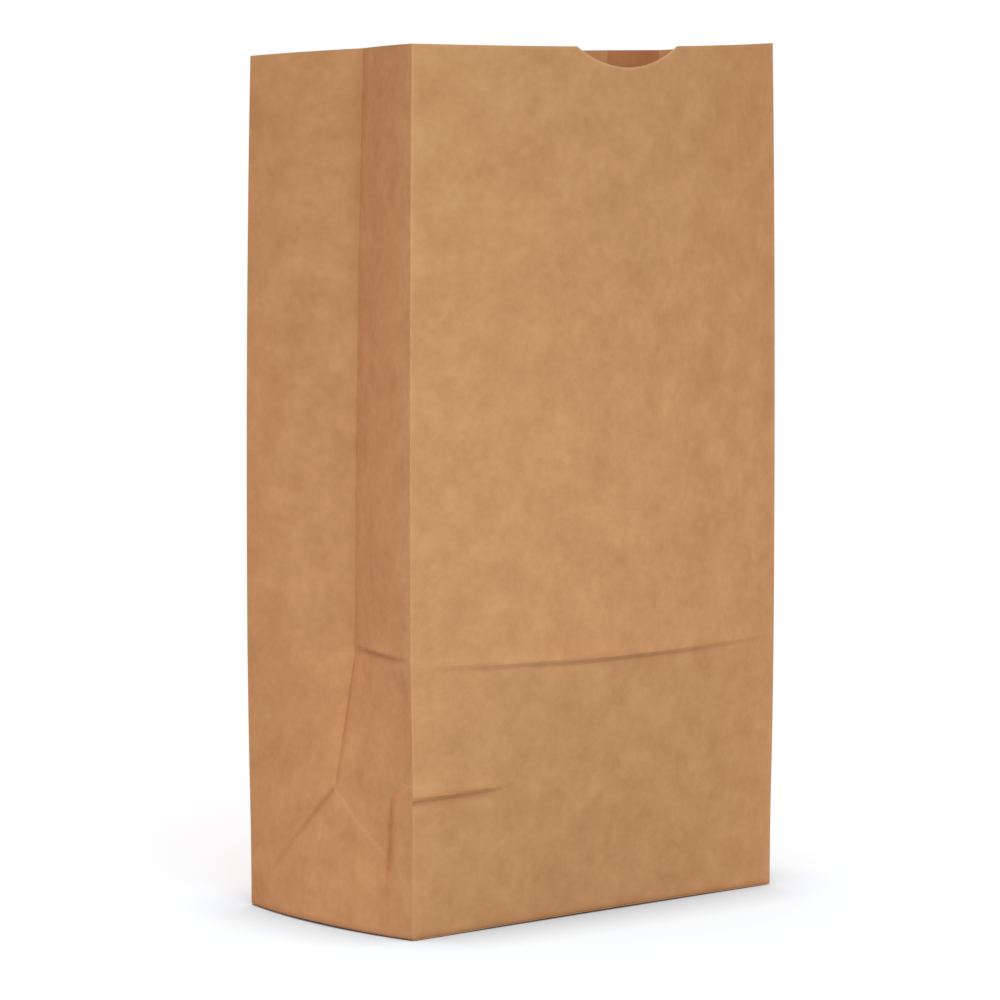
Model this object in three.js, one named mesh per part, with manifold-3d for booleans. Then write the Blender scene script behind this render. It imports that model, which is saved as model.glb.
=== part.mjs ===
// Brown paper lunch bag, standing open: one kraft sheet folded into a tube with a gusset in each side,
// glued along a seam in the back and closed by a pasted flat bottom, with a thumb notch in the front rim.
// Millimetres, +Z up, front towards -Y. The origin is the middle of the base, on the floor.
import * as THREE from "three";
import { mergeVertices } from "three/addons/utils/BufferGeometryUtils.js";
import Module from "manifold-3d";

const wasm = await Module();
wasm.setup();

// The sheet and its panels
const PAPER = 0.12; // thickness of the kraft paper
const PANEL_WIDTH = 156; // front and back panels, corner fold to corner fold
const GUSSET_WIDTH = 85; // side panels, laid flat
const HEIGHT = 276; // floor to the front rim at its corners

// How the tube stands open
const BOW_AT_RIM = 16; // front and back panels bulge this far at the mouth
const BOW_AT_FOLD = 10; // and this far at the base fold
const BASE_DRAW_IN = 2; // each side of the pasted base stands inside the tube by this much
const INSET_LEFT_RIM = 13.5; // left gusset crease, pushed in at the mouth
const INSET_RIGHT_RIM = 17.5; // right gusset crease, pushed in at the mouth
const INSET_AT_FOLD = 11; // both gusset creases, at the base fold
const INSET_AT_APEX = 4; // both gusset creases, where they reach the base triangle
const GUSSET_BOW = 1.5; // each half of a gusset bulges out by this much

// The mouth
const RIM_SAG = 1; // front rim, lower in the middle than at its corners
const BACK_DROP_LEFT = 4; // back rim, lower than the front rim at the left corner
const BACK_DROP_RIGHT = 2.8; // and at the right corner
const NOTCH_WIDTH = 40; // thumb notch, along the rim
const NOTCH_DEPTH = 6.8;

// Creases left by the flat-folded base
const CREASE_HEIGHT = 0.6; // a crease stands out of the panel by this much
const CREASE_UNDERCUT = 0.25; // and falls behind it just below
const CREASE_RISE = 5; // the panel starts to turn out this far above a crease
const CREASE_DROP = 1.5; // and is back behind it this far below
const CREASE_FADE = 6; // and is plain again this far below
const LOWER_CREASE_REACH = 64; // the lower crease runs in from the front left corner by this much

// Glued laps
const SEAM_LAP = 16; // back seam
const SEAM_OFFSET = -18; // middle of the back seam from the middle of the panel
const FLAP_LAP = 20; // the two bottom flaps over each other
const FOLD_SETBACK = 0.4; // folded edges under and in the base, from the walls

// How finely the sheet is divided
const TRIANGLE_STEPS = 6; // up the base triangle, and across half a gusset
const PANEL_STEPS = 6; // across a plain stretch of a wide panel
const NOTCH_STEPS = 10; // along the thumb notch
const UPPER_STEPS = 6; // from the base fold to the rim

// Heights and sizes that follow
const BASE_FOLD = GUSSET_WIDTH; // the flat base lay this far up the front
const APEX = GUSSET_WIDTH / 2; // tip of the triangle folded into each side at the base
const FLAP_OUTSIDE = 0; // lower bottom flap, on the floor
const FLAP_INSIDE = PAPER; // upper bottom flap
const WALL_FOOT = 2 * PAPER; // walls and the tucked-in sides start here
const FLOOR = 3 * PAPER; // the bag's floor inside
const TUCK_TOP = 4 * PAPER; // sides folded in over the floor

const { clamp, lerp, smoothstep } = THREE.MathUtils;

// Bulge of the wide panels at a height: none at the base, most at the mouth.
function bowAt(z) {
  if (z < BASE_FOLD) return (BOW_AT_FOLD * z) / BASE_FOLD;
  return lerp(BOW_AT_FOLD, BOW_AT_RIM, (z - BASE_FOLD) / (HEIGHT - BASE_FOLD));
}

// Draw-in of the pasted base at a height.
function drawInAt(z) {
  return BASE_DRAW_IN * clamp(1 - z / BASE_FOLD, 0, 1);
}

// Inset of a gusset's crease at a height, for the crease's inset at the rim.
function creaseInsetAt(z, insetAtRim) {
  if (z < APEX) return INSET_AT_APEX;
  if (z < BASE_FOLD) return lerp(INSET_AT_APEX, INSET_AT_FOLD, (z - APEX) / (BASE_FOLD - APEX));
  return lerp(INSET_AT_FOLD, insetAtRim, (z - BASE_FOLD) / (HEIGHT - BASE_FOLD));
}

// Corner folds: the paper keeps its length, so a bulging panel is narrower and a pushed-in gusset shallower.
function halfWidthAt(z) {
  const taken = (4 * bowAt(z) ** 2) / (3 * PANEL_WIDTH);
  return PANEL_WIDTH / 2 - taken - drawInAt(z);
}

function halfDepthAt(z) {
  const inset = creaseInsetAt(z, (INSET_LEFT_RIM + INSET_RIGHT_RIM) / 2);
  return Math.sqrt((GUSSET_WIDTH / 2) ** 2 - inset ** 2) - drawInAt(z);
}

// Profile of a crease across its own line: out above it, sharply back behind the panel below it.
function creaseProfile(above) {
  if (above >= 0) return CREASE_HEIGHT * clamp(1 - above / CREASE_RISE, 0, 1);
  const below = -above;
  if (below < CREASE_DROP) return lerp(CREASE_HEIGHT, -CREASE_UNDERCUT, below / CREASE_DROP);
  return -CREASE_UNDERCUT * clamp(1 - (below - CREASE_DROP) / (CREASE_FADE - CREASE_DROP), 0, 1);
}

// Creases of the front panel. across runs from -1 at the left corner to 1 at the right one.
function frontCreaseAt(across, z) {
  const fromCorner = ((across + 1) * PANEL_WIDTH) / 2;
  const lowerStrength = clamp(1 - fromCorner / LOWER_CREASE_REACH, 0, 1);
  const inside = 1 - across ** 8; // the corner folds stay straight
  return inside * (creaseProfile(z - BASE_FOLD) + lowerStrength * creaseProfile(z - APEX));
}

// Outside face of a side panel, from the corner's plane inwards. across is -1 at the front and 1 at the back.
// The base fold's crease runs on over the front half.
function gussetInset(across, z, insetAtRim) {
  const fromCorner = 1 - Math.abs(across);
  const midHalf = 4 * fromCorner * Math.abs(across); // 1 in the middle of each half, 0 at its folds
  const crease = across < 0 ? midHalf * creaseProfile(z - BASE_FOLD) : 0;
  const pleat = fromCorner * creaseInsetAt(z, insetAtRim);
  if (z < APEX) return Math.min(pleat, (INSET_AT_APEX * z) / APEX);
  const open = smoothstep(z, APEX, BASE_FOLD);
  return pleat - open * GUSSET_BOW * midHalf - crease;
}

// Outside point of the wall at one place round the tube and one height.
function wallPoint({ side, across }, z) {
  const halfWidth = halfWidthAt(z);
  const halfDepth = halfDepthAt(z);
  const bulge = bowAt(z) * (1 - across ** 2);
  if (side === "front") {
    return new THREE.Vector2(across * halfWidth, -halfDepth - bulge - frontCreaseAt(across, z));
  }
  if (side === "back") return new THREE.Vector2(across * halfWidth, halfDepth + bulge);
  const insetAtRim = side === "left" ? INSET_LEFT_RIM : INSET_RIGHT_RIM;
  const reach = halfWidth - gussetInset(across, z, insetAtRim);
  return new THREE.Vector2(side === "left" ? -reach : reach, across * halfDepth);
}

// Height of the cut edge round the mouth.
function rimHeight({ side, across }) {
  const dropLeft = (BACK_DROP_LEFT * (across + 1)) / 2;
  const dropRight = (BACK_DROP_RIGHT * (across + 1)) / 2;
  if (side === "left") return HEIGHT - dropLeft;
  if (side === "right") return HEIGHT - dropRight;
  if (side === "back") return HEIGHT - lerp(BACK_DROP_LEFT, BACK_DROP_RIGHT, (across + 1) / 2);
  return HEIGHT - RIM_SAG * (1 - across ** 2) - notchDepth((across * PANEL_WIDTH) / 2);
}

// Depth of the thumb notch, an arc, at a distance from the middle of the front rim.
function notchDepth(x) {
  const half = NOTCH_WIDTH / 2;
  if (Math.abs(x) >= half) return 0;
  const radius = (half ** 2 + NOTCH_DEPTH ** 2) / (2 * NOTCH_DEPTH);
  return NOTCH_DEPTH - radius + Math.sqrt(radius ** 2 - x ** 2);
}

// Places round the tube, seen from above against the clock from the front left corner.
// The last place of each stretch belongs to the next one.
function stretch(side, from, to, steps) {
  return Array.from({ length: steps }, (_, i) => ({ side, across: lerp(from, to, i / steps) }));
}

const notchEdge = NOTCH_WIDTH / PANEL_WIDTH;
const seamOuterEdge = (SEAM_OFFSET + SEAM_LAP / 2) / (PANEL_WIDTH / 2);
const seamInnerEdge = (SEAM_OFFSET - SEAM_LAP / 2) / (PANEL_WIDTH / 2);
const places = [
  ...stretch("front", -1, -notchEdge, PANEL_STEPS),
  ...stretch("front", -notchEdge, notchEdge, NOTCH_STEPS),
  ...stretch("front", notchEdge, 1, PANEL_STEPS),
  ...stretch("right", -1, 1, 2 * TRIANGLE_STEPS),
  ...stretch("back", 1, seamOuterEdge, PANEL_STEPS),
  ...stretch("back", seamOuterEdge, seamInnerEdge, 2),
  ...stretch("back", seamInnerEdge, -1, PANEL_STEPS),
  ...stretch("left", 1, -1, 2 * TRIANGLE_STEPS),
];

// The seam: past its outer edge a second layer lies on the outside, and past its inner edge the layer below
// has ended. From there to the corner fold the sheet comes back to the panel's own plane.
function seamLift({ side, across }, edge, afterEdge) {
  if (side !== "back") return 0;
  if (across > edge || (across === edge && !afterEdge)) return 0;
  return PAPER * clamp((across + 1) / (seamInnerEdge + 1), 0, 1);
}

// Stations of the wall's section: every place once, and the two seam edges twice, before and after the step.
const stations = places.flatMap((place, index) => {
  const isEdge = place.side === "back" && (place.across === seamOuterEdge || place.across === seamInnerEdge);
  const passes = isEdge ? [false, true] : [true];
  return passes.map((afterEdge) => ({
    index,
    outerLift: seamLift(place, seamOuterEdge, afterEdge),
    innerLift: seamLift(place, seamInnerEdge, afterEdge),
  }));
});

// Heights of the rings, from the base to the rim.
const triangleLevels = Array.from({ length: TRIANGLE_STEPS + 1 }, (_, i) => (APEX * i) / TRIANGLE_STEPS);
const creaseLevels = [APEX, BASE_FOLD].flatMap((z) => [z - CREASE_FADE, z - CREASE_DROP, z, z + CREASE_RISE]);
const upperLevels = Array.from({ length: UPPER_STEPS }, (_, i) =>
  lerp(BASE_FOLD + CREASE_RISE, HEIGHT, (i + 1) / UPPER_STEPS),
);
const allLevels = new Set([...triangleLevels, ...creaseLevels, (APEX + BASE_FOLD) / 2, ...upperLevels]);
const levels = [...allLevels].sort((a, b) => a - b);

// Rings above the base fold are spread evenly up to the cut edge at each place.
function ringHeight(place, level) {
  if (level <= BASE_FOLD) return level;
  return lerp(BASE_FOLD, rimHeight(place), (level - BASE_FOLD) / (HEIGHT - BASE_FOLD));
}

// Outside and inside points of one ring of the wall, one paper thickness apart, square to the wall.
function ring(level) {
  const heights = places.map((place) => ringHeight(place, level));
  const outline = places.map((place, i) => wallPoint(place, heights[i]));
  const normals = outline.map((point, i) => {
    const next = outline[(i + 1) % outline.length];
    return new THREE.Vector2(next.y - point.y, point.x - next.x).normalize();
  });
  const mitres = outline.map((_, i) => {
    const before = normals[(i + normals.length - 1) % normals.length];
    return before.clone().add(normals[i]).divideScalar(1 + before.dot(normals[i]));
  });
  const skin = (lift, least) =>
    stations.map((station) => {
      const point = outline[station.index].clone().addScaledVector(mitres[station.index], lift(station));
      return new THREE.Vector3(point.x, point.y, Math.max(heights[station.index], least));
    });
  return {
    outer: skin((station) => station.outerLift, WALL_FOOT),
    inner: skin((station) => station.innerLift - PAPER, FLOOR),
  };
}

// Triangles of a ring of quads between two rows of points. The base triangle's folds run up towards
// a gusset's crease, so the quads there are cut along them.
function band(lower, upper, flipped) {
  return lower.flatMap((_, i) => {
    const j = (i + 1) % lower.length;
    const here = places[stations[i].index];
    const next = places[stations[j].index];
    const towardsCorner = here.side === next.side && Math.abs(next.across) > Math.abs(here.across);
    const faces = towardsCorner
      ? [lower[i], lower[j], upper[i], lower[j], upper[j], upper[i]]
      : [lower[i], lower[j], upper[j], lower[i], upper[j], upper[i]];
    return flipped ? faces.reverse() : faces;
  });
}

// A flat cap over a ring, fanned from its middle.
function cap(points, z, flipped) {
  const middle = new THREE.Vector3(0, 0, z);
  return points.flatMap((point, i) => {
    const faces = [middle, point, points[(i + 1) % points.length]];
    return flipped ? faces.reverse() : faces;
  });
}

// A closed solid from a geometry's triangles, its shared points merged and its collapsed faces left out.
function solidOf(geometry) {
  const bare = new THREE.BufferGeometry().setAttribute("position", geometry.getAttribute("position"));
  if (geometry.index) bare.setIndex(geometry.index);
  const merged = mergeVertices(bare, PAPER / 100);
  const corners = Array.from(merged.index.array);
  const triVerts = [];
  for (let i = 0; i < corners.length; i += 3) {
    const [a, b, c] = corners.slice(i, i + 3);
    if (a !== b && b !== c && c !== a) triVerts.push(a, b, c);
  }
  return new wasm.Manifold(
    new wasm.Mesh({
      numProp: 3,
      vertProperties: merged.getAttribute("position").array,
      triVerts: new Uint32Array(triVerts),
    }),
  );
}

// The walls and the floor as one open cup.
function tubeAndFloor() {
  const rings = levels.map(ring);
  const last = rings.length - 1;
  const faces = [
    ...cap(rings[0].outer, WALL_FOOT, true),
    ...cap(rings[0].inner, FLOOR, false),
    ...band(rings[last].outer, rings[last].inner, false),
  ];
  for (let i = 0; i < last; i += 1) {
    faces.push(...band(rings[i].outer, rings[i + 1].outer, false));
    faces.push(...band(rings[i].inner, rings[i + 1].inner, true));
  }
  return solidOf(new THREE.BufferGeometry().setFromPoints(faces));
}

// A flat layer of the base: an outline extruded between two heights.
function layer(corners, bottom, top) {
  const outline = new THREE.Shape(corners.map(([x, y]) => new THREE.Vector2(x, y)));
  const geometry = new THREE.ExtrudeGeometry(outline, { depth: top - bottom, bevelEnabled: false });
  return solidOf(geometry.translate(0, 0, bottom));
}

const baseHalfWidth = halfWidthAt(0) - FOLD_SETBACK;
const baseHalfDepth = halfDepthAt(0) - FOLD_SETBACK;
const flapDepth = baseHalfDepth + FLAP_LAP / 2;

// A bottom flap, folded in from one long edge of the base, with its ends mitred by the corner folds.
// hinge is -1 for the front edge and 1 for the back one.
function bottomFlap(hinge, bottom) {
  const edge = hinge * baseHalfDepth;
  const free = edge - hinge * flapDepth;
  const end = baseHalfWidth - flapDepth;
  const corners = [[-baseHalfWidth, edge], [-end, free], [end, free], [baseHalfWidth, edge]];
  return layer(hinge > 0 ? corners : corners.reverse(), bottom, (WALL_FOOT + FLOOR) / 2);
}

// A side of the base, tucked in over the floor from one short edge.
// hinge is -1 at the left and 1 at the right.
function sideTuck(hinge) {
  const edge = hinge * (baseHalfWidth - PAPER);
  const free = edge - hinge * flapDepth;
  const depth = baseHalfDepth - PAPER;
  const corners = [[edge, -depth], [edge, depth], [free, depth], [free, -depth]];
  return layer(hinge > 0 ? corners : corners.reverse(), (WALL_FOOT + FLOOR) / 2, TUCK_TOP);
}

// The whole bag: walls and floor, with the pasted layers of the bottom.
function foldedBag() {
  const layers = [
    bottomFlap(-1, FLAP_INSIDE),
    bottomFlap(1, FLAP_OUTSIDE),
    sideTuck(-1),
    sideTuck(1),
  ];
  const solid = layers.reduce((bag, sheet) => bag.add(sheet), tubeAndFloor());
  const { vertProperties, triVerts } = solid.getMesh();
  const geometry = new THREE.BufferGeometry();
  geometry.setAttribute("position", new THREE.BufferAttribute(vertProperties, 3));
  geometry.setIndex(new THREE.BufferAttribute(triVerts, 1));
  geometry.computeVertexNormals();
  return geometry;
}

const kraftPaper = new THREE.MeshStandardMaterial({ color: 0xc29465, roughness: 0.88, metalness: 0 });
const bag = new THREE.Mesh(foldedBag(), kraftPaper);
bag.name = "paper_bag";

const lunchBag = new THREE.Group();
lunchBag.add(bag);

export default lunchBag;
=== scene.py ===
"""Brown paper lunch bag, standing open: a kraft sheet folded up by a node tree, its paper and a white studio.

Metres, +Z up, front towards -Y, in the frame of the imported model.
"""

import math
from types import SimpleNamespace

import bpy
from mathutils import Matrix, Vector


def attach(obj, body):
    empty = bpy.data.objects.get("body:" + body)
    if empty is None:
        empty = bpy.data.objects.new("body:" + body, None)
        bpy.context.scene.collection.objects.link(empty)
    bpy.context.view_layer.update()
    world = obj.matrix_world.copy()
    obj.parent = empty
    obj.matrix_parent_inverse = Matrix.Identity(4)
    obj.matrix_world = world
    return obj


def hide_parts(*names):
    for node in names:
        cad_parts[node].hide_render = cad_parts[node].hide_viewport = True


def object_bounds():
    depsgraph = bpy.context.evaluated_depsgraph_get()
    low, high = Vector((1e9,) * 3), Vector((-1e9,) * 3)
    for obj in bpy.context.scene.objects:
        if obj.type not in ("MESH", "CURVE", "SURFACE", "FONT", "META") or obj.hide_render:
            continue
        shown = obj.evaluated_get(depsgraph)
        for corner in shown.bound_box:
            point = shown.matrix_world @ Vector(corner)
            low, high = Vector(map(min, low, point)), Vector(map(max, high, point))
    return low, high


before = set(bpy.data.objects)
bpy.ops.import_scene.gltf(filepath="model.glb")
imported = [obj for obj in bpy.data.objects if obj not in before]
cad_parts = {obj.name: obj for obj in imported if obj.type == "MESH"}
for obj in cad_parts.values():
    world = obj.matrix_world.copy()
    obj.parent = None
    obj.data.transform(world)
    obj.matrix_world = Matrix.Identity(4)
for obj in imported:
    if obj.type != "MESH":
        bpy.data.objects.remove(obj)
cad_low, cad_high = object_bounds()

MM = 0.001

# The sheet and how it stands open
BAG = {
    "height": cad_high.z,
    "panel width": 156 * MM,
    "gusset width": 85 * MM,
    "paper": 0.2 * MM,
    "bow at rim": 15 * MM,
    "bow at fold": 10 * MM,
    "corner bulge": 0.15 * MM,
    "rim draw in": 0.3 * MM,
    "rim lean": 0.4 * MM,
    "base draw in": 1.75 * MM,
    "base bulge": 5 * MM,
    "left inset at rim": 13.5 * MM,
    "right inset at rim": 13.2 * MM,
    "inset at fold": 11 * MM,
    "inset at apex": 1.8 * MM,
    "front gusset bow": 1.5 * MM,
    "back gusset bow": 3.2 * MM,
    "rim sag": 1 * MM,
    "left back drop": 4 * MM,
    "right back drop": 2.5 * MM,
    "left crease drop": -0.5 * MM,
    "right crease drop": 1.1 * MM,
    "notch width": 43.3 * MM,
    "notch depth": 6.5 * MM,
    "seam lap": 16 * MM,
    "seam offset": -18 * MM,
    "flap lap": 20 * MM,
    "edge lift": 0.45 * MM,
    "foot rounding": 1 * MM,
    "cockle": 0.35 * MM,
}

# Creases left by the flat-folded base
CREASE_HEIGHT = 0.45 * MM
CREASE_UNDERCUT = 0.25 * MM
CREASE_RISE = 5 * MM
CREASE_DROP = 1.5 * MM
CREASE_FADE = 6 * MM
FRONT_CREASE_SHIFT = -0.5 * MM  # front panel's upper crease, from the fold height
FRONT_CREASE_TILT = 0.9 * MM  # its left end is higher by this, and its right end lower
FRONT_CREASE_SAG = 1 * MM  # and its middle lower than its ends
GUSSET_CREASE_SHIFT = 2.8 * MM  # the same crease on the gussets' front halves
LOWER_CREASE_SHIFT = 1.8 * MM  # front panel's lower crease, from the triangle's tip
LOWER_CREASE_RISE = 0.04  # slope up from the front left corner
LOWER_CREASE_REACH = 36 * MM  # it ends this far from the front left corner
LOWER_CREASE_END = 9 * MM  # and fades over this length

# The dent beside the front left corner, on the gusset. Its line runs down near the corner, then swings out.
DENT_DEPTH = 0.9 * MM
DENT_FLANK = 4.5 * MM  # steep side, towards the corner
DENT_SPREAD = 16 * MM  # easy side
DENT_UPPER_GAP = 5.5 * MM  # its line from the corner, above the turn and below it
DENT_LOWER_GAP = 13 * MM
DENT_TURN = 43 * MM
DENT_TURN_HEIGHT = 6 * MM
DENT_TOP = 84 * MM
DENT_FOOT = 16 * MM
DENT_END = 8 * MM

# Faint marks of the back seam, pressed through to the front panel when the bag lay flat
SEAM_MARK_STEP = 0.2 * MM
SEAM_MARK_WIDTH = 2.5 * MM
UPPER_MARK = (-9.6 * MM, 98 * MM, 138 * MM)  # place from the panel's middle, foot and top
LOWER_MARK = (-15 * MM, 48 * MM, 78 * MM)
SEAM_MARK_END = 8 * MM

# Cells of the folded sheet. The strips beside a fold or an edge have finer cells.
EDGE_STRIP = 1.2 * MM
EDGE_CELLS = 3
FINE_STRIP = 6 * MM
FINE_CELLS = 8
PLAIN_CELLS = 29
BACK_LEFT_CELLS = 20
BACK_RIGHT_CELLS = 30
BESIDE_NOTCH_CELLS = 24
NOTCH_CELLS = 30
MIDDLE_CELLS = 15
UPPER_CELLS = 56
LAYER_CELLS = 24

# Heights of the bottom's layers, in thicknesses of paper
BACK_FLAP_LEVEL = 0.05
FRONT_FLAP_LEVEL = 2.1
FLOOR_LEVEL = 3.2
LEFT_TUCK_LEVEL = 3.4
RIGHT_TUCK_LEVEL = 4.4

BUCKLE_SLOPE = 0.63  # the painted highlight line from the triangle's tip to the dent drops by this share
FAR = 1000  # a distance past every limit
ON_PANEL = 0.001  # a point this close to the front or back, as a share of the depth, is on that panel
SEAM_SPREAD = 6  # how many times wider the seam marks' easy side is
LAP_GAP = 1.3  # the seam's outer layer stands off by this many thicknesses of paper

# Waves in the stretches between the folds, and how far from the folds they start
WAVE_SCALE = 16
RIPPLE_SCALE = 60
RIPPLE_SHARE = 0.12
CALM_BY_CORNER = 10 * MM
CALM_BY_CREASE = 8 * MM
CALM_BY_FOOT = 30 * MM

# Widths and strengths of the light lines: wear on the corners, seam edge and rim, and a painted highlight
# along the left buckle
CORNER_WEAR = (1.6 * MM, 0.5)
BUCKLE_HIGHLIGHT_WIDTH = 1.6 * MM
BUCKLE_HIGHLIGHT_END = 3 * MM  # it fades out this far to each side of the dent's line
SEAM_WEAR = (1.5 * MM, 0.7)
RIM_WEAR_WIDTH = 1.3 * MM
RIM_WEAR = 0.1  # all round, with more on the front panel and more still in the notch
FRONT_RIM_WEAR = 0.4
NOTCH_WEAR = 0.5
NOTCH_WEAR_START = 0.5 * MM

# Widths of the painted shade lines, which lie a little below or beside their folds
LINE_SHIFT = 1 * MM
FRONT_LINE = (1.8 * MM, 0.5)
LOWER_LINE_WIDTH = 2.8 * MM
GUSSET_LINE_WIDTH = 1.6 * MM
FOOT_LINE_WIDTH = 2.4 * MM
PLEAT_LINE_WIDTH = 3 * MM
PLEAT_LINE_END = 4 * MM
DENT_LINE_WIDTH = 2.4 * MM
DENT_LINE_END = 6 * MM
BACK_FOLD_WIDTH = 2.4 * MM
BACK_FOLD_START = 6 * MM
BACK_FOLD_RISE = 30 * MM
SEAM_LINE_WIDTH = 1.2 * MM
SEAM_LINE_SHIFT = 0.8 * MM
SEAM_LINE_START = 0.1 * MM
FOLD_ANGLE = math.radians(5)  # edges bent more than this stay sharp

# Camera, solved from the bag's corners in the picture
CAMERA_AZIMUTH = math.radians(40.57)  # round from the front, to the left
CAMERA_PITCH = math.radians(5.6)  # looking down
CAMERA_DISTANCE = 1.5291
CAMERA_LENS = 170.52
CAMERA_SENSOR = 36
AIM_RIGHT = -4.47 * MM  # aim point, from the middle of the bag's height
AIM_UP = -8.86 * MM

# Studio. The floor is pale for the light that it throws back, and white to the camera.
FLOOR_SIZE = 12
FLOOR_SHADE = (0.40, 0.46, 0.51, 1)
FLOOR_GLOW = 0.50
CONTACT_REACH = 30 * MM
PAINTED_CONTACT_SHADOW = (0.02, 0.008, 0.005, 1)  # painted contact shadow: the floor's glow to the camera goes to this brown where the bag hides it most, a painted bounce of the paper's colour
AROUND_LIGHT = 0.38
OVERHEAD_LIGHT = 1.35
WARM_LIGHT = (1.03, 0.87, 0.80, 1)
LAMP_AZIMUTH = math.radians(30)  # round from the front, to the left
LAMP_HEIGHT = math.radians(23)
LAMP_DISTANCE = 0.9
LAMP_SIZE = 0.5
LAMP_POWER = 3.6
COOL_LAMP = (0.54, 0.88, 1)

# Colours, as sRGB shares
KRAFT_LIGHT = (0.808, 0.594, 0.406)
KRAFT_DARK = (0.738, 0.520, 0.340)
# wear on corners, cut edges and the seam's edge, and a painted highlight along the left buckle
KRAFT_WEAR_AND_HIGHLIGHT = (0.870, 0.680, 0.500)
# painted shade along the creases, folds, foot and back seam
KRAFT_PAINTED_SHADE = (0.640, 0.385, 0.220)
WEAR_AND_HIGHLIGHT_SHARE = 0.35  # how far wear with its painted highlight goes towards its colour; the next share is for the painted shade
PAINTED_SHADE_SHARE = 0.5
MOUTH_PAINTED_SHADE_START = 0.5  # as a share of the height
MOUTH_PAINTED_SHADE = (0.950, 0.938, 0.920)  # painted shade: the paper is darker towards the mouth


class Wire:
    """A socket of a node tree. Arithmetic between wires and numbers adds Math nodes."""

    def __init__(self, board, socket):
        self.board = board
        self.socket = socket

    def math(self, operation, *others):
        return self.board.node("ShaderNodeMath", {"operation": operation}, [self, *others])

    def beside(self, name):
        """Another output of the same node."""
        return Wire(self.board, self.socket.node.outputs[name])

    def __add__(self, other):
        return self.math("ADD", other)

    __radd__ = __add__

    def __sub__(self, other):
        return self.math("SUBTRACT", other)

    def __rsub__(self, other):
        return self.board.node("ShaderNodeMath", {"operation": "SUBTRACT"}, [other, self])

    def __mul__(self, other):
        return self.math("MULTIPLY", other)

    __rmul__ = __mul__

    def __truediv__(self, other):
        return self.math("DIVIDE", other)

    def __rtruediv__(self, other):
        return self.board.node("ShaderNodeMath", {"operation": "DIVIDE"}, [other, self])

    def __neg__(self):
        return self * -1

    def __abs__(self):
        return self.math("ABSOLUTE")

    def squared(self):
        return self * self

    def root(self):
        return self.math("SQRT")

    def least(self, other):
        return self.math("MINIMUM", other)

    def most(self, other):
        return self.math("MAXIMUM", other)

    def share(self):
        """Held between 0 and 1."""
        return self.board.node("ShaderNodeClamp", {}, [self, 0, 1])


class Board:
    """A node tree that is being wired."""

    def __init__(self, tree):
        self.tree = tree

    def node(self, kind, settings, sockets, output=0):
        """Adds a node: its settings first, then the values or links of its sockets, by name or in order."""
        made = self.tree.nodes.new(kind)
        for name, value in settings.items():
            setattr(made, name, value)
        pairs = sockets.items() if isinstance(sockets, dict) else enumerate(sockets)
        for key, value in pairs:
            wires = value if isinstance(value, list) else [value]
            for wire in wires:
                if isinstance(wire, Wire):
                    self.tree.links.new(wire.socket, made.inputs[key])
                else:
                    made.inputs[key].default_value = wire
        return Wire(self, made.outputs[output]) if len(made.outputs) else None

    def vector(self, x, y, z):
        return self.node("ShaderNodeCombineXYZ", {}, [x, y, z])

    def noise(self, at, scale, detail=2.0, roughness=0.5):
        """Cloudy noise, about -1 to 1."""
        settings = {"noise_dimensions": "3D"}
        sockets = {"Vector": at, "Scale": scale, "Detail": detail, "Roughness": roughness}
        return (self.node("ShaderNodeTexNoise", settings, sockets) - 0.5) * 2

    def mix_colour(self, share, first, second, blend="MIX"):
        settings = {"data_type": "RGBA", "blend_type": blend}
        return self.node("ShaderNodeMix", settings, {0: share, 6: first, 7: second}, output=2)


def linear(colour):
    """An sRGB colour as the linear values that a shader takes, with alpha."""
    parts = [c / 12.92 if c <= 0.04045 else ((c + 0.055) / 1.055) ** 2.4 for c in colour]
    return (*parts, 1)


def distance_along(index, stretches):
    """Distance along a row of stretches, each of some cells and a length, at a grid index."""
    start = 0
    distance = 0
    for cells, length in stretches:
        distance = ((index - start) / cells).share() * length + distance
        start += cells
    return distance


def cells_in(stretches):
    return sum(cells for cells, _ in stretches)


def grid(board, columns, rows):
    """A flat grid of that many cells, with each point's column and row, which stay when the points move."""
    sockets = {"Size X": columns, "Size Y": rows, "Vertices X": columns + 1, "Vertices Y": rows + 1}
    mesh = board.node("GeometryNodeMeshGrid", {}, sockets)
    index = board.node("GeometryNodeInputIndex", {}, [])
    column = ((index + 0.5) / (rows + 1)).math("FLOOR")
    return mesh, column, index - column * (rows + 1)


def crease_profile(above):
    """Height of a crease across its line: rising to it from above, then sharply back behind the panel."""
    over = (1 - above.most(0) / CREASE_RISE).share().squared()
    step = (above / -CREASE_DROP).share()
    tail = (1 - (-above - CREASE_DROP) / (CREASE_FADE - CREASE_DROP)).share().squared()
    below = CREASE_HEIGHT - step * (CREASE_HEIGHT + CREASE_UNDERCUT)
    is_above = above.math("GREATER_THAN", 0)
    is_tail = above.math("LESS_THAN", -CREASE_DROP)
    under = is_tail * (tail * -CREASE_UNDERCUT) + (1 - is_tail) * below
    return is_above * (over * CREASE_HEIGHT) + (1 - is_above) * under


def near(distance, width):
    """1 on a line and 0 from a width away on."""
    return (1 - abs(distance) / width).share()


def between(value, low, high, end):
    """1 from low to high, fading to 0 over the length end inside each of them."""
    return ((value - low) / end).share() * ((high - value) / end).share()


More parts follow.
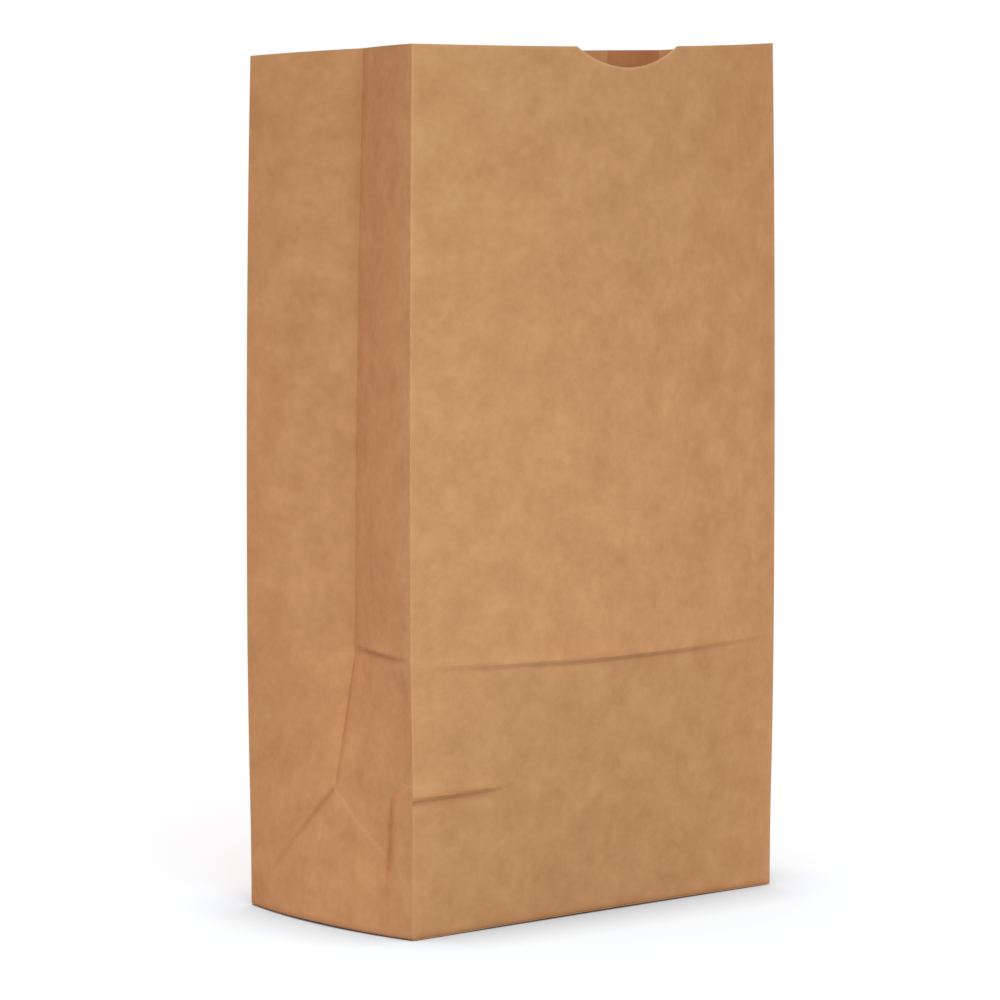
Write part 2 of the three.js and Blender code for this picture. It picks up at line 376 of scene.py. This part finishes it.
def bag_shape(bag):
    """Sizes of the standing bag that follow from the sheet, as functions of the height z."""
    half_gusset = bag.gusset_width / 2
    half_panel = bag.panel_width / 2
    fold = bag.gusset_width

    def up_to_fold(z):
        return (z / fold).share()

    def above_fold(z):
        return ((z - fold) / (bag.height - fold)).share()

    def bow(z):
        gained = (bag.bow_at_rim - bag.bow_at_fold) * above_fold(z).squared()
        return bag.bow_at_fold * up_to_fold(z) + gained

    def draw_in(z):
        bulge = above_fold(z) * (1 - above_fold(z)) * 4 * bag.corner_bulge
        at_rim = bag.rim_draw_in * above_fold(z).squared()
        return bag.base_draw_in * (1 - up_to_fold(z).squared()) - bulge + at_rim

    def base_bulge(z, depth):
        return bag.base_bulge * (1 - z / half_gusset).share() * (1 - depth.squared())

    def inset(z, at_rim):
        below = (bag.inset_at_fold - bag.inset_at_apex) * ((z - half_gusset) / half_gusset).share()
        return bag.inset_at_apex + below + (at_rim - bag.inset_at_fold) * above_fold(z)

    def half_width(z):
        taken = bow(z).squared() * 4 / (3 * bag.panel_width)
        return half_panel - taken - draw_in(z)

    def half_depth(z):
        middle = inset(z, (bag.left_inset_at_rim + bag.right_inset_at_rim) / 2)
        return (half_gusset.squared() - middle.squared()).root() - draw_in(z)

    return SimpleNamespace(
        half_gusset=half_gusset,
        half_panel=half_panel,
        fold=fold,
        above_fold=above_fold,
        bow=bow,
        inset=inset,
        half_width=half_width,
        half_depth=half_depth,
        base_bulge=base_bulge,
        foot=bag.paper * 2,
        back_left=half_panel + bag.seam_offset + bag.seam_lap / 2,
        back_right=half_panel - bag.seam_offset + bag.seam_lap / 2,
    )


def wall_stretches(bag, shape):
    """Cells and lengths of the walls' sheet, round it from the back seam and up it.

    The base triangles' folds run through the corners of the cells, because the cells are spaced alike up a
    triangle and across half a gusset.
    """
    edge = (EDGE_CELLS, EDGE_STRIP)
    fine = (FINE_CELLS, FINE_STRIP)
    half_pleat = [edge, (PLAIN_CELLS, shape.half_gusset - EDGE_STRIP - FINE_STRIP), fine]
    pleat = half_pleat + half_pleat[::-1]
    beside_notch = (BESIDE_NOTCH_CELLS, (bag.panel_width - bag.notch_width) / 2 - EDGE_STRIP)
    front = [edge, beside_notch, (NOTCH_CELLS, bag.notch_width), beside_notch, edge]
    back_left = (BACK_LEFT_CELLS, shape.back_left)
    back_right = (BACK_RIGHT_CELLS, shape.back_right)
    around = [back_left, *pleat, *front, *pleat, back_right]
    middle = (MIDDLE_CELLS, shape.half_gusset - 2 * FINE_STRIP)
    upper = (UPPER_CELLS, bag.height - shape.fold - FINE_STRIP - EDGE_STRIP)
    upwards = [*half_pleat, fine, middle, fine, fine, upper, edge]
    return around, upwards


def wall_sheet(board, bag, shape):
    """The walls: one sheet that starts and ends in the back seam, and where its points lie on the folded bag.

    across is -1 to 1 from left to right, and depth is -1 to 1 from front to back.
    """
    around, upwards = wall_stretches(bag, shape)
    mesh, column, row = grid(board, cells_in(around), cells_in(upwards))
    along = distance_along(column, around)
    front_start = shape.back_left + bag.gusset_width
    right_start = front_start + bag.panel_width
    back_start = right_start + bag.gusset_width
    left_turn = ((along - shape.back_left) / bag.gusset_width).share()
    front_run = ((along - front_start) / bag.panel_width).share()
    right_turn = ((along - right_start) / bag.gusset_width).share()
    first_run = (along / shape.back_left).share() * shape.back_left / shape.half_panel
    last_run = ((along - back_start) / shape.back_right).share() * shape.back_right / shape.half_panel
    across = shape.back_left / shape.half_panel - 1 - first_run + front_run * 2 - last_run
    depth = 1 - left_turn * 2 + right_turn * 2
    from_corner = 1 - abs(depth)
    frontness = (1 - depth) / 2
    return SimpleNamespace(
        mesh=mesh,
        along=along,
        height=distance_along(row, upwards),
        across=across,
        depth=depth,
        frontness=frontness,
        on_front=frontness.math("GREATER_THAN", 1 - ON_PANEL),
        on_back=frontness.math("LESS_THAN", ON_PANEL),
        rightness=(1 + across) / 2,
        front_half=depth.math("LESS_THAN", 0),
        from_corner=from_corner,
        off_middle=across * shape.half_panel,
        inside_panel=1 - across.squared(),
        mid_half=from_corner * abs(depth) * 4,
        corner_gap=(1 - abs(across)) * shape.half_panel + from_corner * shape.half_gusset,
        crease_gap=abs(depth) * shape.half_gusset,
    )


def cut_edge(bag, sheet):
    """Height of the rim, lower at the back and in the thumb notch, and the notch's own depth."""
    half_notch = bag.notch_width / 2
    radius = (half_notch.squared() + bag.notch_depth.squared()) / (bag.notch_depth * 2)
    arc = (radius.squared() - sheet.off_middle.squared()).most(0).root()
    notch = (bag.notch_depth - radius + arc).most(0) * sheet.frontness
    back_drop = bag.left_back_drop + (bag.right_back_drop - bag.left_back_drop) * sheet.rightness
    crease_drop = sheet.from_corner * (
        bag.left_crease_drop + (bag.right_crease_drop - bag.left_crease_drop) * sheet.rightness
    )
    front_sag = sheet.frontness * sheet.inside_panel * bag.rim_sag
    rim = bag.height - front_sag - notch - (1 - sheet.frontness) * back_drop - crease_drop
    return rim, notch


def crease_lines(shape, sheet, z):
    """Heights above the creases of the flat-folded base, and how strong each crease is at a point."""
    panel_only = sheet.frontness * sheet.inside_panel
    from_left = sheet.rightness * 2 * shape.half_panel
    tilt = sheet.across * FRONT_CREASE_TILT
    front_height = FRONT_CREASE_SHIFT - tilt - sheet.inside_panel * FRONT_CREASE_SAG
    lower_end = ((LOWER_CREASE_REACH - from_left) / LOWER_CREASE_END).share()
    return SimpleNamespace(
        front=z - (shape.fold + front_height),
        front_strength=panel_only,
        lower=z - (shape.half_gusset + LOWER_CREASE_SHIFT + from_left * LOWER_CREASE_RISE),
        lower_strength=sheet.on_front * lower_end,
        gusset=z - (shape.fold + GUSSET_CREASE_SHIFT),
        gusset_strength=sheet.front_half * sheet.mid_half,
    )


def corner_dent(shape, sheet, z):
    """Depth of the dent beside the front left corner, and the distance past its line."""
    line = DENT_LOWER_GAP - (DENT_LOWER_GAP - DENT_UPPER_GAP) * ((z - DENT_TURN) / DENT_TURN_HEIGHT).share()
    beyond = sheet.from_corner * shape.half_gusset - line
    section = (beyond / DENT_FLANK + 1).share().least((1 - beyond / DENT_SPREAD).share())
    strength = between(z, DENT_FOOT, DENT_TOP, DENT_END) * sheet.front_half * (1 - sheet.rightness)
    return section * strength * DENT_DEPTH, beyond


def seam_marks(sheet, z):
    """The step that the back seam's edge left in the front panel."""
    steps = 0
    for place, foot, top in (UPPER_MARK, LOWER_MARK):
        beyond = (sheet.off_middle - place) / SEAM_MARK_WIDTH
        ridge = (beyond + 1).share().least((1 - beyond / SEAM_SPREAD).share())
        steps = ridge * between(z, foot, top, SEAM_MARK_END) + steps
    return steps * SEAM_MARK_STEP * sheet.frontness


def folded_walls(board, bag):
    """The walls' sheet, folded up, with soft waves, marks of wear, a painted highlight and painted shade
    lines on it.
    """
    shape = bag_shape(bag)
    sheet = wall_sheet(board, bag, shape)
    rim, notch = cut_edge(bag, sheet)
    z = sheet.height + (rim - bag.height) * shape.above_fold(sheet.height)
    lines = crease_lines(shape, sheet, z)
    dent, past_dent = corner_dent(shape, sheet, z)

    # The pleats, and the base triangles below them
    inset_at_rim = (
        bag.left_inset_at_rim + (bag.right_inset_at_rim - bag.left_inset_at_rim) * sheet.rightness
    )
    pleat_inset = sheet.from_corner * shape.inset(z, inset_at_rim)
    above_apex = (z - shape.half_gusset).most(0)
    triangle_inset = bag.inset_at_apex * z / shape.half_gusset + above_apex * FAR
    opened = (above_apex / shape.half_gusset).share()
    gusset_bow = bag.back_gusset_bow + (bag.front_gusset_bow - bag.back_gusset_bow) * sheet.front_half
    gusset_crease = lines.gusset_strength * crease_profile(lines.gusset)
    gusset_inset = (
        pleat_inset.least(triangle_inset) - opened * gusset_bow * sheet.mid_half - gusset_crease + dent
    )

    # The creased front, the back seam's outer layer on its inner one, and the foot
    front_crease = lines.front_strength * crease_profile(lines.front)
    lower_crease = lines.lower_strength * crease_profile(lines.lower)
    pressed = front_crease + lower_crease + seam_marks(sheet, z)
    lap_run = shape.back_left - bag.seam_lap
    seam_lift = (1 - (sheet.along - bag.seam_lap) / lap_run).share() * bag.paper * LAP_GAP
    over_ground = (1 - z / bag.foot_rounding).share()
    rounding = bag.foot_rounding * (1 - (1 - over_ground.squared()).most(0).root())
    lifted = sheet.inside_panel * sheet.frontness + sheet.from_corner * (1 - sheet.rightness)
    edge_lift = bag.edge_lift * lifted * (1 - z / shape.half_gusset).share()

    x = sheet.across * (shape.half_width(z) + shape.base_bulge(z, sheet.depth) - gusset_inset - rounding)
    y = sheet.depth * (shape.half_depth(z) + shape.bow(z) * sheet.inside_panel - rounding)
    lean = bag.rim_lean * shape.above_fold(z).squared()
    place = board.vector(x + lean, y - pressed + seam_lift, z.most(shape.foot) + edge_lift)
    folded = board.node("GeometryNodeSetPosition", {}, {"Geometry": sheet.mesh, "Position": place})

    waved = soft_waves(board, bag, sheet, z, folded)
    # lighter lines: wear, and a painted highlight along the left buckle
    wear_and_highlight = wear_and_highlight_lines(shape, sheet, z, rim - z, notch, past_dent)
    # painted shade along the creases, folds, foot and back seam
    painted_shade = painted_shade_lines(bag, shape, sheet, z, lines, past_dent)
    marked = store(board, waved, "worn_edge", wear_and_highlight)
    return store(board, marked, "crease_line", painted_shade)


def soft_waves(board, bag, sheet, z, folded):
    """The folded sheet with soft waves in the stretches between its folds."""
    calm = (
        (sheet.corner_gap / CALM_BY_CORNER).share()
        * (sheet.crease_gap / CALM_BY_CREASE).share()
        * (z / CALM_BY_FOOT).share()
    )
    on_sheet = board.vector(sheet.along, sheet.height * 0.5, 0)
    wave = board.noise(on_sheet, WAVE_SCALE) + board.noise(on_sheet, RIPPLE_SCALE) * RIPPLE_SHARE
    normal = board.node("GeometryNodeInputNormal", {}, [])
    offset = board.node(
        "ShaderNodeVectorMath", {"operation": "SCALE"}, {"Vector": normal, "Scale": wave * calm * bag.cockle}
    )
    return board.node("GeometryNodeSetPosition", {}, {"Geometry": folded, "Offset": offset})


def wear_and_highlight_lines(shape, sheet, z, below_rim, notch, past_dent):
    """Lighter lines: wear on the upright corners, the seam's edge and the rim, most in the notch, and a
    painted highlight along the left buckle.
    """
    corner_width, corner_wear = CORNER_WEAR
    seam_width, seam_wear = SEAM_WEAR
    corner = near(sheet.corner_gap + sheet.from_corner * shape.half_gusset * 2, corner_width) * corner_wear
    # painted highlight along the left buckle, on the side of the fold that faces the light
    buckle = z - shape.half_gusset + (1 - sheet.from_corner) * shape.half_gusset * BUCKLE_SLOPE
    short_of_dent = ((past_dent + BUCKLE_HIGHLIGHT_END) / (BUCKLE_HIGHLIGHT_END * 2)).share()
    on_left = 1 - sheet.rightness
    triangle = near(buckle, BUCKLE_HIGHLIGHT_WIDTH) * sheet.front_half * on_left * short_of_dent
    in_notch = (notch / NOTCH_WEAR_START).share()
    rim_strength = RIM_WEAR + FRONT_RIM_WEAR * sheet.on_front + NOTCH_WEAR * in_notch
    rim = near(below_rim, RIM_WEAR_WIDTH) * rim_strength
    seam = near(sheet.along, seam_width) * seam_wear
    return corner.most(triangle).most(rim).most(seam)


def painted_shade_lines(bag, shape, sheet, z, lines, past_dent):
    """Painted shade: darker along the creases, the foot, the back seam, and the left gusset's dent, pleat and
    back fold.
    """
    front_width, front_strength = FRONT_LINE
    front = lines.front_strength * near(lines.front + LINE_SHIFT, front_width) * front_strength
    lower = lines.lower_strength * near(lines.lower + LINE_SHIFT, LOWER_LINE_WIDTH)
    gusset = lines.gusset_strength * near(lines.gusset + LINE_SHIFT, GUSSET_LINE_WIDTH)
    foot = near(z, FOOT_LINE_WIDTH)

    below_fold = between(z, shape.half_gusset, shape.fold, PLEAT_LINE_END)
    pleat = sheet.front_half * below_fold * near(sheet.crease_gap, PLEAT_LINE_WIDTH)
    beside_dent = between(z, DENT_FOOT, DENT_TURN + DENT_TURN_HEIGHT, DENT_LINE_END)
    dent = sheet.front_half * near(past_dent + LINE_SHIFT, DENT_LINE_WIDTH) * beside_dent
    above_apex = (z - shape.half_gusset).most(0)
    triangle_gap = abs(sheet.from_corner * shape.half_gusset - z) + above_apex * FAR
    upper_part = ((z - BACK_FOLD_START) / BACK_FOLD_RISE).share()
    back_fold = near(triangle_gap, BACK_FOLD_WIDTH) * (1 - sheet.front_half) * upper_part
    on_left_gusset = (pleat + dent + back_fold) * (1 - sheet.rightness)

    past_seam = sheet.off_middle - bag.seam_offset - bag.seam_lap / 2
    under_seam = past_seam.math("GREATER_THAN", SEAM_LINE_START)
    seam = sheet.on_back * near(past_seam - SEAM_LINE_SHIFT, SEAM_LINE_WIDTH) * under_seam
    return (front + lower + gusset + foot + on_left_gusset + seam).share()


def store(board, geometry, name, value):
    """Keeps a value on each point of a mesh, for the paper's material to read."""
    settings = {"data_type": "FLOAT", "domain": "POINT"}
    return board.node(
        "GeometryNodeStoreNamedAttribute", settings, {"Geometry": geometry, "Name": name, "Value": value}
    )


def base_layer(board, place):
    """A layer of the bottom. place gives its points from u, -1 to 1, and v, 0 to 1.

    The paper gets its thickness below a layer's points, or above them where u and v turn the other way.
    """
    mesh, column, row = grid(board, LAYER_CELLS, LAYER_CELLS)
    u = column / (LAYER_CELLS / 2) - 1
    v = row / LAYER_CELLS
    return board.node("GeometryNodeSetPosition", {}, {"Geometry": mesh, "Position": place(u, v)})


def pasted_bottom(board, bag):
    """The bottom: a floor, two long flaps pasted over each other under it, and the tucked-in sides on it."""
    shape = bag_shape(bag)
    ground = bag.paper * 0
    half_width = shape.half_width(ground)
    half_depth = shape.half_depth(ground)
    flap = half_depth + bag.flap_lap / 2
    inner_width = half_width - bag.paper
    inner_depth = half_depth - bag.paper

    def lift(across, depth):
        at_front = (1 - across.squared()) * (1 - depth) / 2
        at_left = (-across).most(0).squared() * (1 - abs(depth))
        return bag.edge_lift * (at_front + at_left)

    def floor(u, v):
        depth = v * 2 - 1
        z = bag.paper * FLOOR_LEVEL + lift(u, depth)
        return board.vector(u * (inner_width + shape.base_bulge(ground, depth)), inner_depth * depth, z)

    def front_flap(u, v):
        across = u * (1 - v * flap / half_width)
        depth = v * flap / half_depth - 1
        z = bag.paper * FRONT_FLAP_LEVEL + lift(across, depth)
        return board.vector(across * half_width, depth * half_depth, z)

    def back_flap(u, v):
        across = u * (1 - v * flap / half_width)
        depth = 1 - v * flap / half_depth
        z = bag.paper * BACK_FLAP_LEVEL + lift(across, depth)
        return board.vector(across * half_width, depth * half_depth, z)

    def left_tuck(u, v):
        z = bag.paper * LEFT_TUCK_LEVEL + lift(v * flap / half_width - 1, u)
        return board.vector(v * flap - inner_width - shape.base_bulge(ground, u), u * inner_depth, z)

    def right_tuck(u, v):
        z = bag.paper * RIGHT_TUCK_LEVEL + lift(1 - v * flap / half_width, u)
        return board.vector(inner_width + shape.base_bulge(ground, u) - v * flap, u * inner_depth, z)

    return [base_layer(board, place) for place in (floor, front_flap, back_flap, left_tuck, right_tuck)]


def folded_bag(material):
    """The whole bag as a plain mesh."""
    tree = bpy.data.node_groups.new("folded_bag", "GeometryNodeTree")
    tree.interface.new_socket("Geometry", in_out="OUTPUT", socket_type="NodeSocketGeometry")
    identifiers = {}
    for name in BAG:
        socket = tree.interface.new_socket(name, in_out="INPUT", socket_type="NodeSocketFloat")
        identifiers[name] = socket.identifier
    board = Board(tree)
    sizes = tree.nodes.new("NodeGroupInput")
    bag = SimpleNamespace(
        **{name.replace(" ", "_"): Wire(board, sizes.outputs[name]) for name in BAG}
    )

    sheets = [folded_walls(board, bag), *pasted_bottom(board, bag)]
    joined = board.node("GeometryNodeJoinGeometry", {}, {"Geometry": sheets})
    faces = board.node("GeometryNodeTriangulate", {"quad_method": "LONGEST_DIAGONAL"}, {"Mesh": joined})
    whole = board.node("GeometryNodeRealizeInstances", {}, {"Geometry": faces})
    papered = board.node("GeometryNodeSetMaterial", {}, {"Geometry": whole, "Material": material})
    board.node("NodeGroupOutput", {}, {"Geometry": papered})

    bag_object = bpy.data.objects.new("paper_bag_sheet", bpy.data.meshes.new("paper_bag_sheet"))
    bpy.context.scene.collection.objects.link(bag_object)
    folding = bag_object.modifiers.new("folding", "NODES")
    folding.node_group = tree
    for name, value in BAG.items():
        folding[identifiers[name]] = value
    thickness = bag_object.modifiers.new("thickness", "SOLIDIFY")
    thickness.thickness = BAG["paper"]
    thickness.offset = -1
    thickness.use_even_offset = True

    evaluated = bag_object.evaluated_get(bpy.context.evaluated_depsgraph_get())
    mesh = bpy.data.meshes.new_from_object(evaluated)
    bag_object.modifiers.clear()
    bag_object.data = mesh
    mesh.shade_smooth()
    mesh.set_sharp_from_angle(angle=FOLD_ANGLE)
    return bag_object


def kraft_paper():
    """Uncoated kraft: cloudy formation, fine fibres, lighter folds and cut edges from wear with a painted
    highlight along the left buckle, painted shade along the creases and folds, and painted shade towards the
    mouth.
    """
    material = bpy.data.materials.new("kraft_paper")
    material.use_nodes = True
    board = Board(material.node_tree)
    shader = material.node_tree.nodes["Principled BSDF"]
    at = board.node("ShaderNodeTexCoord", {}, [], output="Object")

    clouds = board.noise(at, 90, detail=3)
    blotches = board.noise(at, 300, detail=3, roughness=0.6)
    fibres = board.noise(at, 1500, detail=4, roughness=0.7)
    tone = (0.5 + clouds * 0.8 + blotches * 0.5 + fibres * 0.2).share()
    wear_and_highlight = board.node("ShaderNodeAttribute", {"attribute_name": "worn_edge"}, [], output="Fac")
    # painted shade along the creases, folds, foot and back seam
    crease = board.node("ShaderNodeAttribute", {"attribute_name": "crease_line"}, [], output="Fac")
    upward = board.node("ShaderNodeSeparateXYZ", {}, [at], output="Z") / BAG["height"]
    towards_mouth = ((upward - MOUTH_PAINTED_SHADE_START) / (1 - MOUTH_PAINTED_SHADE_START)).share()
    plain = board.mix_colour(tone, linear(KRAFT_DARK), linear(KRAFT_LIGHT))
    # painted shade: the paper darkens towards the mouth
    plain = board.mix_colour(towards_mouth, plain, linear(MOUTH_PAINTED_SHADE), blend="MULTIPLY")
    # lighter for wear, and for the painted highlight along the left buckle
    lighter = board.mix_colour(wear_and_highlight * WEAR_AND_HIGHLIGHT_SHARE, plain, linear(KRAFT_WEAR_AND_HIGHLIGHT))
    colour = board.mix_colour(crease * PAINTED_SHADE_SHARE, lighter, linear(KRAFT_PAINTED_SHADE))

    height = blotches * 0.6 + fibres * 0.4
    bump = board.node(
        "ShaderNodeBump", {}, {"Strength": 0.25, "Distance": 0.1 * MM, "Height": height}
    )
    links = material.node_tree.links
    links.new(colour.socket, shader.inputs["Base Color"])
    links.new((0.84 - blotches * 0.08).socket, shader.inputs["Roughness"])
    links.new(bump.socket, shader.inputs["Normal"])
    shader.inputs["Specular IOR Level"].default_value = 0.3
    return material


def seen_directly(board):
    """1 for what the camera sees, straight, mirrored or through glass, and 0 for what lights the bag."""
    ray = board.node("ShaderNodeLightPath", {}, [], output="Is Camera Ray")
    return ray.most(ray.beside("Is Glossy Ray")).most(ray.beside("Is Transmission Ray"))


def studio_floor():
    """A pale floor that glows white to the camera, keeps the bag's shadow, and has a painted contact shadow:
    its glow fades to brown where the bag hides it.
    """
    half = FLOOR_SIZE / 2
    mesh = bpy.data.meshes.new("studio_floor")
    corners = [(-half, -half, 0), (half, -half, 0), (half, half, 0), (-half, half, 0)]
    mesh.from_pydata(corners, [], [(0, 1, 2, 3)])
    floor = bpy.data.objects.new("studio_floor", mesh)
    bpy.context.scene.collection.objects.link(floor)

    material = bpy.data.materials.new("studio_floor")
    material.use_nodes = True
    board = Board(material.node_tree)
    shader = material.node_tree.nodes["Principled BSDF"]
    shader.inputs["Base Color"].default_value = FLOOR_SHADE
    shader.inputs["Roughness"].default_value = 0.9
    shader.inputs["Specular IOR Level"].default_value = 0
    open_floor = board.node(
        "ShaderNodeAmbientOcclusion", {"samples": 8}, {"Distance": CONTACT_REACH}, output="AO"
    )
    # painted contact shadow: the glow to the camera fades with the occlusion near the bag
    shaded = board.mix_colour(open_floor, PAINTED_CONTACT_SHADOW, (*[FLOOR_GLOW] * 3, 1))
    glow = board.mix_colour(seen_directly(board), (0, 0, 0, 1), shaded)
    material.node_tree.links.new(glow.socket, shader.inputs["Emission Color"])
    shader.inputs["Emission Strength"].default_value = 1
    mesh.materials.append(material)


def studio_light():
    """Soft warm light from all round, more of it from above, and a broad cooler lamp in front."""
    scene = bpy.context.scene
    world = bpy.data.worlds.new("studio")
    world.use_nodes = True
    scene.world = world
    board = Board(world.node_tree)
    background = world.node_tree.nodes["Background"]
    direction = board.node("ShaderNodeTexCoord", {}, [], output="Generated")
    upward = board.node("ShaderNodeSeparateXYZ", {}, [direction], output="Z")
    seen = seen_directly(board)
    colour = board.mix_colour(seen, WARM_LIGHT, (1, 1, 1, 1))
    strength = seen + (1 - seen) * (AROUND_LIGHT + upward.most(0) * OVERHEAD_LIGHT)
    world.node_tree.links.new(colour.socket, background.inputs["Color"])
    world.node_tree.links.new(strength.socket, background.inputs["Strength"])

    lamp = bpy.data.lights.new("front_lamp", "AREA")
    lamp.shape = "DISK"
    lamp.size = LAMP_SIZE
    lamp.energy = LAMP_POWER
    lamp.color = COOL_LAMP
    lamp_object = bpy.data.objects.new("front_lamp", lamp)
    aim = Vector((0, 0, BAG["height"] / 2))
    towards_lamp = Vector((
        -math.sin(LAMP_AZIMUTH) * math.cos(LAMP_HEIGHT),
        -math.cos(LAMP_AZIMUTH) * math.cos(LAMP_HEIGHT),
        math.sin(LAMP_HEIGHT),
    ))
    lamp_object.location = aim + towards_lamp * LAMP_DISTANCE
    lamp_object.rotation_euler = (-towards_lamp).to_track_quat("-Z", "Y").to_euler()
    scene.collection.objects.link(lamp_object)


def photo_camera():
    """The camera at the picture's viewing angle."""
    camera = bpy.data.cameras.new("photo_camera")
    camera.lens = CAMERA_LENS
    camera.sensor_width = CAMERA_SENSOR
    camera.clip_end = 50
    forward = Vector((
        math.sin(CAMERA_AZIMUTH) * math.cos(CAMERA_PITCH),
        math.cos(CAMERA_AZIMUTH) * math.cos(CAMERA_PITCH),
        -math.sin(CAMERA_PITCH),
    ))
    right = Vector((math.cos(CAMERA_AZIMUTH), -math.sin(CAMERA_AZIMUTH), 0))
    up = right.cross(forward)
    middle = Vector((0, 0, BAG["height"] / 2))
    camera_object = bpy.data.objects.new("photo_camera", camera)
    camera_object.location = middle + right * AIM_RIGHT + up * AIM_UP - forward * CAMERA_DISTANCE
    camera_object.rotation_euler = forward.to_track_quat("-Z", "Y").to_euler()
    bpy.context.scene.collection.objects.link(camera_object)
    bpy.context.scene.camera = camera_object


photo_camera()
studio_light()
studio_floor()
bag_sheet = folded_bag(kraft_paper())
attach(bag_sheet, "root")
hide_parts("paper_bag")
bpy.context.scene.view_settings.view_transform = "Standard"
